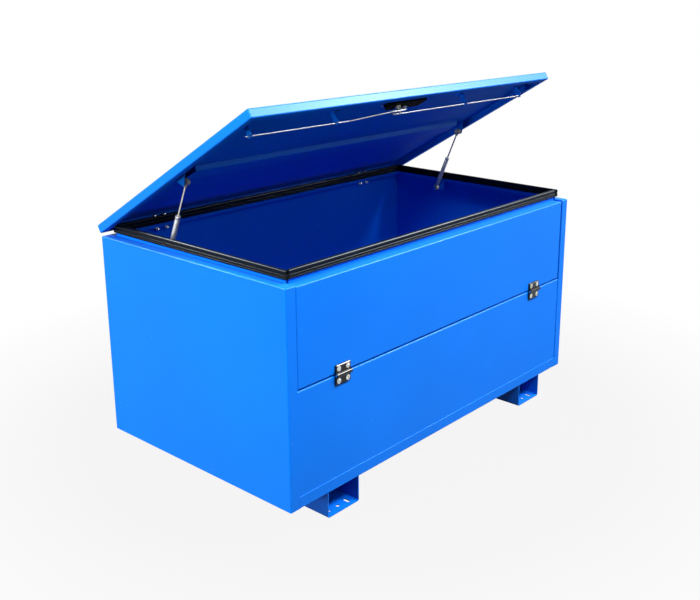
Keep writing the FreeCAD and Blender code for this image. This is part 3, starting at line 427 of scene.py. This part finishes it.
def settled(name):
    """Name the new primitive and put its place, turn and size into its mesh."""
    obj = bpy.context.object
    obj.name = name
    bpy.ops.object.transform_apply(location=True, rotation=True, scale=True)
    return obj


def block(name, size, middle):
    bpy.ops.object.select_all(action="DESELECT")
    bpy.ops.mesh.primitive_cube_add(size=1, location=middle)
    bpy.context.object.scale = size
    return settled(name)


def bar(name, radius, length, middle, turn=(0, 0, 0), sides=32):
    bpy.ops.object.select_all(action="DESELECT")
    bpy.ops.mesh.primitive_cylinder_add(vertices=sides, radius=radius, depth=length,
                                        location=middle, rotation=turn)
    return settled(name)


def editing(obj, kind="VERT"):
    """Open the object's mesh with nothing selected."""
    only(obj)
    bpy.ops.object.mode_set(mode="EDIT")
    bpy.ops.mesh.select_mode(type=kind)
    bpy.ops.mesh.select_all(action="DESELECT")
    return bmesh.from_edit_mesh(obj.data)


def closed():
    bpy.ops.object.mode_set(mode="OBJECT")


def softened(obj, width, steps, test):
    """Bevel the edges whose middle and direction pass the test."""
    mesh = editing(obj, "EDGE")
    for edge in mesh.edges:
        a, b = (vert.co for vert in edge.verts)
        edge.select_set(test((a + b) / 2, (b - a).normalized()))
    bmesh.update_edit_mesh(obj.data)
    bpy.ops.mesh.bevel(offset=width, segments=steps, affect="EDGES")
    closed()


def turned(name, outline, steps=32):
    """Spin an outline of (radius, height) points about the vertical."""
    bpy.ops.object.select_all(action="DESELECT")
    bpy.ops.mesh.primitive_plane_add(size=0.001)
    obj = settled(name)
    editing(obj)
    bpy.ops.mesh.select_all(action="SELECT")
    bpy.ops.mesh.merge(type="CENTER")
    at = Vector((outline[0][0], 0, outline[0][1]))
    bpy.ops.transform.translate(value=at)
    for radius, height in outline[1:]:
        onward = Vector((radius, 0, height))
        bpy.ops.mesh.extrude_region_move(TRANSFORM_OT_translate={"value": onward - at})
        at = onward
    bpy.ops.mesh.select_all(action="SELECT")
    bpy.ops.mesh.spin(steps=steps, angle=math.tau, center=(0, 0, 0), axis=(0, 0, 1))
    bpy.ops.mesh.select_all(action="SELECT")
    bpy.ops.mesh.remove_doubles(threshold=1e-6)
    bpy.ops.mesh.normals_make_consistent(inside=False)
    closed()
    return obj


def carved(obj, tool, how="DIFFERENCE"):
    """Cut, add or meet the object with a tool shape, which is used up."""
    change = obj.modifiers.new("carve", "BOOLEAN")
    change.object = tool
    change.operation = how
    change.solver = "EXACT"
    only(obj)
    bpy.ops.object.modifier_apply(modifier=change.name)
    bpy.data.objects.remove(tool)
    return obj


def sawn(obj, point, normal):
    """Cut off what lies beyond a plane and leave the cut open."""
    editing(obj)
    bpy.ops.mesh.select_all(action="SELECT")
    bpy.ops.mesh.bisect(plane_co=point, plane_no=normal, clear_outer=True)
    closed()
    return obj


def copied(obj, place):
    """Copy with a mesh of its own, put in its place."""
    made = obj.copy()
    made.data = obj.data.copy()
    made.data.transform(place)
    if place.determinant() < 0:
        made.data.flip_normals()
    bpy.context.scene.collection.objects.link(made)
    return made


def joined(name, pieces, weld=False):
    """Join pieces into one object, and merge the points where they meet."""
    only(pieces[0])
    for piece in pieces[1:]:
        piece.select_set(True)
    bpy.ops.object.join()
    obj = bpy.context.object
    obj.name = name
    if weld:
        editing(obj)
        bpy.ops.mesh.select_all(action="SELECT")
        bpy.ops.mesh.remove_doubles(threshold=2e-5)
        closed()
    return obj


def fitted(obj, slot, body, *nodes, smooth=35):
    """Shade the piece, give it its finish and hang it on its body in place of the CAD nodes."""
    only(obj)
    bpy.ops.object.shade_smooth_by_angle(angle=math.radians(smooth))
    obj.data.materials.clear()
    obj.data.materials.append(FINISH[slot])
    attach(obj, body)
    if nodes:
        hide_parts(*nodes)


def ends_of(name):
    return [Vector(end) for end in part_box(name)]


def middle_of(name):
    low, high = ends_of(name)
    return (low + high) / 2


def opened():
    """The swing that takes a closed lid's pieces to the open lid."""
    hinge = JOINTS["lid_hinge"]
    centre = Vector(hinge["pos_m"])
    swing = Matrix.Rotation(math.radians(-hinge["range_deg"][0]), 4, Vector(hinge["axis"]))
    return Matrix.Translation(centre) @ swing @ Matrix.Translation(-centre)


def shut_ends_of(name):
    """Lowest and highest corner of a lid piece while the lid is shut."""
    shut = opened().inverted()
    points = [shut @ vert.co for vert in frame["nodes"][name].data.vertices]
    return [Vector([pick(point[i] for point in points) for i in range(3)]) for pick in (min, max)]


# Seals
def seal_run(name, length, height):
    """Hollow bulb on its clip, along Y from the origin, standing on z = 0."""
    seal = settings().seal
    half = length / 2
    clip = block(name, (seal.clip, length, seal.shoulder), (0, half, seal.shoulder / 2))
    softened(clip, seal.shoulder * 0.14, 3, lambda middle, way: abs(way.y) > 0.9)
    across = (math.radians(90), 0, 0)
    bulb_z = height - seal.bulb
    neck = block("neck", (seal.bulb * 1.3, length, bulb_z - seal.shoulder / 2),
                 (0, half, (bulb_z + seal.shoulder / 2) / 2))
    carved(clip, neck, "UNION")
    carved(clip, bar("bulb", seal.bulb, length, (0, half, bulb_z), across), "UNION")
    carved(clip, bar("bore", seal.bore, length * 1.2, (0, half, bulb_z), across, 24))
    for side in (-1, 1):
        rib = bar("rib", seal.rib, length, (side * seal.clip / 2, half, seal.shoulder * 0.36), across, 12)
        carved(clip, rib, "UNION")
    slot = block("slot", (seal.slot, length * 1.2, seal.slot_depth * 2), (0, half, 0))
    return carved(clip, slot)


class JOBSITE_OT_seals(bpy.types.Operator):
    """Rim seal and door seal: a hollow bulb on a clip that grips the upstand"""

    bl_idname = "jobsite.seals"
    bl_label = "Seals"

    def execute(self, context):
        seal = settings().seal
        low, high = ends_of("rim_seal")
        height = high.z - low.z
        lift = Matrix.Translation((0, 0, low.z))
        side_x = high.x - seal.bulb
        back_y = high.y - seal.bulb
        spare = 4 * seal.clip

        run = seal_run("rim_seal_side", back_y - low.y + spare, height)
        right = copied(run, Matrix.Translation((side_x, low.y, 0)) @ lift)
        sawn(right, (side_x, back_y, low.z), (-1, 1, 0))
        left = copied(run, Matrix.Translation((-side_x, low.y, 0)) @ lift)
        sawn(left, (-side_x, back_y, low.z), (1, 1, 0))
        bpy.data.objects.remove(run)
        back = seal_run("rim_seal_back", 2 * (side_x + spare), height)
        back.data.transform(Matrix.Translation((side_x + spare, back_y, 0)) @ lift @ ACROSS)
        sawn(back, (side_x, back_y, low.z), (1, -1, 0))
        sawn(back, (-side_x, back_y, low.z), (-1, -1, 0))
        rim = joined("rim_seal_bulb", [left, right, back], weld=True)
        fitted(rim, "black_rubber", "box", "rim_seal")

        low, high = ends_of("door_seal")
        front = seal_run("door_seal_bulb", high.x - low.x, high.z - low.z)
        middle_y = (low.y + high.y) / 2
        front.data.transform(Matrix.Translation((high.x, middle_y, low.z)) @ ACROSS)
        fitted(front, "black_rubber", "door", "door_seal")
        for piece in (rim, front):
            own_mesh(piece)
        return {"FINISHED"}


# Hinge fasteners
def screw():
    """Countersunk socket screw, its head's face at the origin and its thread upwards."""
    fit = settings().fastener
    sink = fit.head - fit.shank
    thread = fit.leaf + fit.sheet + fit.nut_height - fit.pitch
    end = fit.leaf + fit.sheet + fit.nut_height + fit.proud
    outline = [(0, 0), (fit.head * 0.94, 0), (fit.head, fit.head * 0.04),
               (fit.shank, sink), (fit.shank, thread)]
    while outline[-1][1] + 2.4 * fit.pitch < end:
        crest = outline[-1][1]
        outline += [(fit.shank * 0.87, crest + fit.pitch * 0.5), (fit.shank, crest + fit.pitch)]
    outline += [(fit.shank * 0.9, end - fit.pitch * 0.7),
                (fit.shank * 0.6, end - fit.pitch * 0.2), (0, end)]
    body = turned("screw", outline, 28)
    hexagon = bar("socket", fit.socket / math.sqrt(3), fit.socket_depth * 2, (0, 0, 0), sides=6)
    return carved(body, hexagon)


def nut(width, low, high, bore):
    """Hexagon nut with chamfered corners, on an upright screw."""
    corner = width / math.sqrt(3)
    body = bar("nut", corner, high - low, (0, 0, (low + high) / 2), sides=6)
    rim = width * 0.47
    reach = corner * 1.02
    fall = (reach - rim) * 0.6
    dome = turned("dome", [(0, low), (rim, low), (reach, low + fall), (reach, high - fall),
                           (rim, high), (0, high)])
    carved(body, dome, "INTERSECT")
    return carved(body, bar("bore", bore * 1.01, (high - low) * 3, (0, 0, low), sides=28))


class JOBSITE_OT_fasteners(bpy.types.Operator):
    """Screws and nuts of the lid hinges and the door hinges"""

    bl_idname = "jobsite.fasteners"
    bl_label = "Hinge fasteners"

    def places(self, hinge, level):
        """Where the four fasteners of a pair of hinges sit, above or below the hinge line."""
        fit = settings().fastener
        low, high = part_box("left_door_hinge_panel_leaf" if hinge == "door" else "left_lid_hinge_wall_leaf")
        wall = high[1] - fit.leaf if hinge == "door" else low[1] + fit.leaf
        into = INTO_FRONT if hinge == "door" else INTO_BACK
        line = JOINTS[hinge + "_hinge"]["pos_m"][2]
        found = []
        for side in SIDES:
            for across in (-0.5, 0.5):
                x = middle_of(f"{side}_{hinge}_hinge_pin").x + across * fit.square
                spin = Matrix.Rotation(math.radians(SCREW_TURN * len(found) + ROW_TURN * level), 4, "Z")
                found.append(Matrix.Translation((x, wall, line + level * fit.square / 2)) @ into @ spin)
        return found

    def execute(self, context):
        swing = opened()
        sets = {
            "box": self.places("lid", -1) + self.places("door", -1),
            "lid": [swing @ place for place in self.places("lid", 1)],
            "door": self.places("door", 1),
        }
        fit = settings().fastener
        seat = fit.leaf + fit.sheet
        hinge_nut = nut(fit.nut, seat, seat + fit.nut_height, fit.shank)
        for word, model in (("screws", screw()), ("nuts", hinge_nut)):
            for body, places in sets.items():
                pieces = [copied(model, place) for place in places]
                made = joined(f"{body}_socket_{word}", pieces)
                fitted(made, "zinc_plate", body, f"{body}_hinge_{word}")
            bpy.data.objects.remove(model)
        return {"FINISHED"}


# Gas struts and latch
class JOBSITE_OT_struts(bpy.types.Operator):
    """Gas strut cylinders with a crimped groove and a rolled collar"""

    bl_idname = "jobsite.struts"
    bl_label = "Gas struts"

    def execute(self, context):
        strut = settings().strut
        wide, end = strut.radius, strut.length
        groove, pressed = end - strut.crimp, wide * 0.93
        bottom, bore = 0.003, wide * 0.86
        lip, plug = end - 0.0012, end - 0.012
        foot = [(0, 0), (wide * 0.7, 0), (wide * 0.92, 0.0007), (wide, 0.0024)]
        crimp = [(wide, groove - 0.0022), (pressed, groove - 0.0009),
                 (pressed, groove + 0.0009), (wide, groove + 0.0022)]
        collar = [(wide, end - 0.0058), (strut.collar, end - 0.0044), (strut.collar, lip),
                  (strut.collar * 0.93, end), (wide * 0.62, end), (wide * 0.56, lip)]
        inside = [(strut.guide, lip), (strut.guide, plug), (bore, plug), (bore, bottom), (0, bottom)]
        model = turned("strut", foot + crimp + collar + inside, 40)
        for side in SIDES:
            way = Vector(JOINTS[f"{side}_strut_extend"]["axis"])
            start = Vector(JOINTS[f"{side}_strut_swing"]["pos_m"]) + way * strut.neck
            place = Matrix.Translation(start) @ way.to_track_quat("Z", "Y").to_matrix().to_4x4()
            tube = copied(model, place)
            tube.name = f"{side}_crimped_cylinder"
            fitted(tube, "strut_grey", f"{side}_strut_tube", f"{side}_strut_cylinder")
        bpy.data.objects.remove(model)
        return {"FINISHED"}


class JOBSITE_OT_latch(bpy.types.Operator):
    """Return spring round the latch spindle, lock in the handle's hub and screws of the dish"""

    bl_idname = "jobsite.latch"
    bl_label = "Latch"

    def spring(self, down):
        latch = settings().latch
        bpy.ops.object.select_all(action="DESELECT")
        bpy.ops.mesh.primitive_circle_add(vertices=10, radius=latch.wire, location=(latch.coil, 0, 0),
                                          rotation=(math.pi / 2, 0, 0))
        spring = settled("latch_spring")
        wound = spring.modifiers.new("wound", "SCREW")
        wound.steps = wound.render_steps = 28
        wound.iterations = latch.turns
        wound.screw_offset = latch.wire * latch.rise
        only(spring)
        bpy.ops.object.modifier_apply(modifier=wound.name)
        editing(spring)
        bpy.ops.mesh.select_all(action="SELECT")
        bpy.ops.mesh.remove_doubles(threshold=1e-6)
        bpy.ops.mesh.fill_holes(sides=0)
        bpy.ops.mesh.select_all(action="SELECT")
        bpy.ops.mesh.normals_make_consistent(inside=False)
        closed()
        height = latch.wire * (latch.rise * latch.turns + latch.lift)
        turn = down.to_track_quat("Z", "Y").to_matrix().to_4x4()
        spring.data.transform(Matrix.Translation(middle_of("latch_cam") - down * height) @ turn)
        fitted(spring, "zinc_plate", "lid", smooth=60)

    def lock(self, down):
        latch = settings().latch
        wide, high = latch.lock, latch.lock_height
        lock = turned("handle_lock", [(0, -high), (wide, -high), (wide, high * 0.6), (wide * 0.93, high),
                                      (wide * 0.76, high), (wide * 0.7, high * 0.55), (0, high * 0.55)], 36)
        carved(lock, block("key", (latch.key, latch.key * 0.2, high * 4), (0, 0, high * 1.4)))
        pivot = Vector(JOINTS["latch_turn"]["pos_m"])
        points = frame["nodes"]["latch_handle"].data.vertices
        top = max((point.co - pivot).dot(-down) for point in points)
        turn = (-down).to_track_quat("Z", "Y").to_matrix().to_4x4()
        lock.data.transform(Matrix.Translation(pivot - down * top) @ turn)
        fitted(lock, "zinc_plate", "latch")

    def dish_screws(self):
        latch = settings().latch
        wide, high = latch.head, latch.head_height
        low_end = -latch.grip - latch.nut_height
        head = [(0, high), (wide * 0.5, high * 0.95), (wide * 0.84, high * 0.66),
                (wide, high * 0.2), (wide, 0)]
        shank = [(latch.shank, 0), (latch.shank, low_end - high * 0.7),
                 (latch.shank * 0.7, low_end - high), (0, low_end - high)]
        model = turned("dish_screw", head + shank, 24)
        long, thin = wide * 1.1, wide * 0.24
        for size in ((long, thin), (thin, long)):
            carved(model, block("slot", (*size, high * 1.2), (0, 0, high)))
        model = joined("dish_screw", [model, nut(latch.nut, low_end, -latch.grip, latch.shank)])
        low, high_end = shut_ends_of("latch_dish_screws")
        swing = opened()
        pieces = []
        for x in (low.x + wide, high_end.x - wide):
            for y in (low.y + wide, high_end.y - wide):
                spin = Matrix.Rotation(math.radians(DISH_SCREW_TURN * len(pieces)), 4, "Z")
                pieces.append(copied(model, swing @ Matrix.Translation((x, y, high_end.z - high)) @ spin))
        bpy.data.objects.remove(model)
        fitted(joined("dish_cross_screws", pieces), "zinc_plate", "lid", "latch_dish_screws")

    def execute(self, context):
        down = Vector(JOINTS["latch_turn"]["axis"])
        self.spring(down)
        self.lock(down)
        self.dish_screws()
        return {"FINISHED"}


# Welds
def bead(length, radius):
    """Rippled weld bead lying along X."""
    ripples = max(9, round(length / radius / 0.9))
    outline = [(0, -length / 2)]
    for i in range(1, ripples):
        at = length * i / ripples
        end = min(1.0, math.sqrt(min(at, length - at) / (1.6 * radius)))
        outline.append((radius * end * (1.0 if i % 2 else 0.88), at - length / 2))
    outline.append((0, length / 2))
    made = turned("bead", outline, 12)
    made.data.transform(UPRIGHT)
    return made


def run_of(model, points, turn):
    """Copies of one bead at the points, all turned alike; the model is used up."""
    pieces = [copied(model, Matrix.Translation(point) @ turn) for point in points]
    bpy.data.objects.remove(model)
    return pieces


class JOBSITE_OT_welds(bpy.types.Operator):
    """Stitches under the floor, beads at the rail, tabs and brackets, spot welds of the stiffener"""

    bl_idname = "jobsite.welds"
    bl_label = "Welds"

    def under_floor(self):
        weld = settings().weld
        points = []
        out = weld.bead * 0.25
        for side in SIDES:
            low, high = ends_of(f"{side}_foot_channel")
            reach = (high.y - low.y) / 2 - weld.stitch * 1.4
            for x in (low.x - out, high.x + out):
                for i in range(weld.stitches):
                    y = reach * (2 * i / (weld.stitches - 1) - 1)
                    points.append((x, y, high.z - out))
        return run_of(bead(weld.stitch, weld.bead), points, ACROSS)

    def at_rail(self):
        """Seams between the front rail and the posts."""
        weld = settings().weld
        low, high = ends_of("floor_pan")
        seam = ends_of("lower_front_panel")[1].x
        middle = (low.z + high.z) / 2
        points = [(side * seam, low.y + weld.seam * 0.4, middle) for side in (-1, 1)]
        return run_of(bead((high.z - low.z) * 0.86, weld.seam), points, UPRIGHT)

    def at_wall_brackets(self):
        weld = settings().weld
        low, high = ends_of("right_strut_wall_bracket")
        points = [(side * high.x, (low.y + high.y) / 2, high.z) for side in (-1, 1)]
        return run_of(bead((high.y - low.y) * 0.7, weld.bead), points, ACROSS)

    def under_lid(self):
        """Beads along the angle feet of the rod guides and the strut brackets."""
        thin = settings().weld.bead * 0.8
        pieces = []
        for word in ("inner_rod_guide", "outer_rod_guide", "strut_lid_bracket"):
            low, high = shut_ends_of("right_" + word)
            middle = (low + high) / 2
            points = [(side * high.x, middle.y, high.z) for side in (-1, 1)]
            pieces += run_of(bead((high.y - low.y) * 0.7, thin), points, ACROSS)
            points = [(side * middle.x, y, high.z) for side in (-1, 1) for y in (low.y, high.y)]
            pieces += run_of(bead((high.x - low.x) * 0.6, thin), points, Matrix())
        return pieces

    def on_stiffener(self):
        """Spot welds in two rows along the brims."""
        weld = settings().weld
        low, high = shut_ends_of("lid_stiffener")
        count = int((high.x - low.x) / weld.spot_step)
        spot = turned("spot", [(0, 0.0005), (weld.spot * 0.55, 0.00042), (weld.spot * 0.85, 0.0002),
                               (weld.spot, -0.0002), (0, -0.0002)], 14)
        points = []
        for y in (low.y + weld.brim / 2, high.y - weld.brim / 2):
            for i in range(count):
                points.append(((i + 0.5 - count / 2) * weld.spot_step, y, high.z - weld.hat_sheet))
        return run_of(spot, points, Matrix.Rotation(math.pi, 4, "X"))

    def execute(self, context):
        swing = opened()
        on_box = joined("box_weld_beads", self.under_floor() + self.at_rail() + self.at_wall_brackets())
        on_lid = joined("lid_weld_beads", self.under_lid() + self.on_stiffener())
        on_lid.data.transform(swing)
        fitted(on_box, "blue_powder_coat", "box", smooth=60)
        fitted(on_lid, "blue_powder_coat", "lid", smooth=60)
        return {"FINISHED"}


class JOBSITE_OT_stage(bpy.types.Operator):
    """Floor, light and camera"""

    bl_idname = "jobsite.stage"
    bl_label = "Stage"

    def seen(self, tree):
        """One for the rays that should meet plain white."""
        path = node(tree, "ShaderNodeLightPath")
        straight = summed(tree, path.outputs["Is Camera Ray"], path.outputs["Is Glossy Ray"])
        return summed(tree, straight, path.outputs["Is Transmission Ray"])

    def floor(self):
        bpy.ops.object.select_all(action="DESELECT")
        bpy.ops.mesh.primitive_plane_add(size=settings().stage.floor_size)
        floor = bpy.context.object
        floor.name = "studio_floor"
        material = bpy.data.materials.new("studio_floor")
        material.use_nodes = True
        tree = material.node_tree
        tree.nodes.clear()
        place = node(tree, "ShaderNodeTexCoord").outputs["Object"]
        away = node(tree, "ShaderNodeVectorMath", {0: place}, operation="LENGTH").outputs["Value"]
        # Painted shade: near the box the camera sees only 90% white, so the floor is grey there whether or not a
        # shadow falls; the rest is the dark floor with its real shadow
        white_but_painted_shade_near = spread(tree, away, 0.9, 1.8, 0.9, 1.0)
        share = node(tree, "ShaderNodeMath", {0: self.seen(tree), 1: white_but_painted_shade_near},
                     operation="MULTIPLY").outputs[0]
        matt = node(tree, "ShaderNodeBsdfDiffuse", {"Color": (0.05, 0.05, 0.05, 1)}).outputs[0]
        white = node(tree, "ShaderNodeEmission", {"Color": (1, 1, 1, 1), "Strength": 1.0}).outputs[0]
        mix = node(tree, "ShaderNodeMixShader", {0: share, 1: matt, 2: white}).outputs[0]
        node(tree, "ShaderNodeOutputMaterial", {0: mix})
        floor.data.materials.append(material)

    def world(self, scene):
        scene.world = bpy.data.worlds.new("studio")
        scene.world.use_nodes = True
        tree = scene.world.node_tree
        tree.nodes.clear()
        light = {"Color": (1, 1, 1, 1), "Strength": settings().stage.sky}
        sky = node(tree, "ShaderNodeBackground", light).outputs[0]
        white = node(tree, "ShaderNodeBackground", {"Color": (1, 1, 1, 1), "Strength": 1.0}).outputs[0]
        mix = node(tree, "ShaderNodeMixShader", {0: self.seen(tree), 1: sky, 2: white}).outputs[0]
        node(tree, "ShaderNodeOutputWorld", {0: mix})

    def lamp(self, scene, name, place, aim, size, power, shine_only):
        light = bpy.data.lights.new(name, "AREA")
        light.shape = "DISK"
        light.size = size
        light.energy = power
        lamp = bpy.data.objects.new(name, light)
        lamp.location = place
        lamp.rotation_euler = (Vector(aim) - Vector(place)).to_track_quat("-Z", "Y").to_euler()
        lamp.visible_diffuse = not shine_only
        scene.collection.objects.link(lamp)

    def camera(self, scene):
        stage = settings().stage
        az, el = stage.azimuth, stage.elevation
        back = Vector((math.sin(az) * math.cos(el), -math.cos(az) * math.cos(el), math.sin(el)))
        level = Vector((0, 0, 1)).cross(back).normalized()
        right = level * math.cos(stage.roll) + back.cross(level) * math.sin(stage.roll)
        data = bpy.data.cameras.new("camera")
        data.sensor_width = stage.sensor
        data.lens = stage.lens
        data.shift_x = stage.shift_x
        data.shift_y = stage.shift_y
        camera = bpy.data.objects.new("camera", data)
        turn = Matrix((right, back.cross(right), back)).transposed().to_4x4()
        camera.matrix_world = Matrix.Translation(stage.camera_place) @ turn
        scene.collection.objects.link(camera)
        scene.camera = camera

    def execute(self, context):
        scene = context.scene
        self.floor()
        self.world(scene)
        for name, place, aim, size, power, shine_only in LAMPS:
            self.lamp(scene, name, place, aim, size, power, shine_only)
        self.camera(scene)
        scene.view_settings.view_transform = "Standard"
        return {"FINISHED"}


class JOBSITE_PT_panel(bpy.types.Panel):
    """Lists the steps that dress the box"""

    bl_label = "Jobsite box"
    bl_idname = "JOBSITE_PT_panel"
    bl_space_type = "VIEW_3D"
    bl_region_type = "UI"
    bl_category = "Jobsite box"

    def draw(self, context):
        for operator in OPERATORS:
            self.layout.operator(operator.bl_idname)


OPERATORS = (JOBSITE_OT_finishes, JOBSITE_OT_seals, JOBSITE_OT_fasteners, JOBSITE_OT_struts,
             JOBSITE_OT_latch, JOBSITE_OT_welds, JOBSITE_OT_stage)
GROUPS = (FinishSettings, SealSettings, FastenerSettings, StrutSettings, LatchSettings, WeldSettings,
          StageSettings, BoxSettings)
CLASSES = GROUPS + OPERATORS + (JOBSITE_PT_panel,)


def register():
    for cls in CLASSES:
        bpy.utils.register_class(cls)
    bpy.types.Scene.jobsite_box = PointerProperty(type=BoxSettings)


def unregister():
    del bpy.types.Scene.jobsite_box
    for cls in reversed(CLASSES):
        bpy.utils.unregister_class(cls)


def main():
    register()
    bpy.ops.jobsite.finishes()
    bpy.ops.jobsite.seals()
    bpy.ops.jobsite.fasteners()
    bpy.ops.jobsite.struts()
    bpy.ops.jobsite.latch()
    bpy.ops.jobsite.welds()
    bpy.ops.jobsite.stage()


if __name__ == "__main__":
    main()
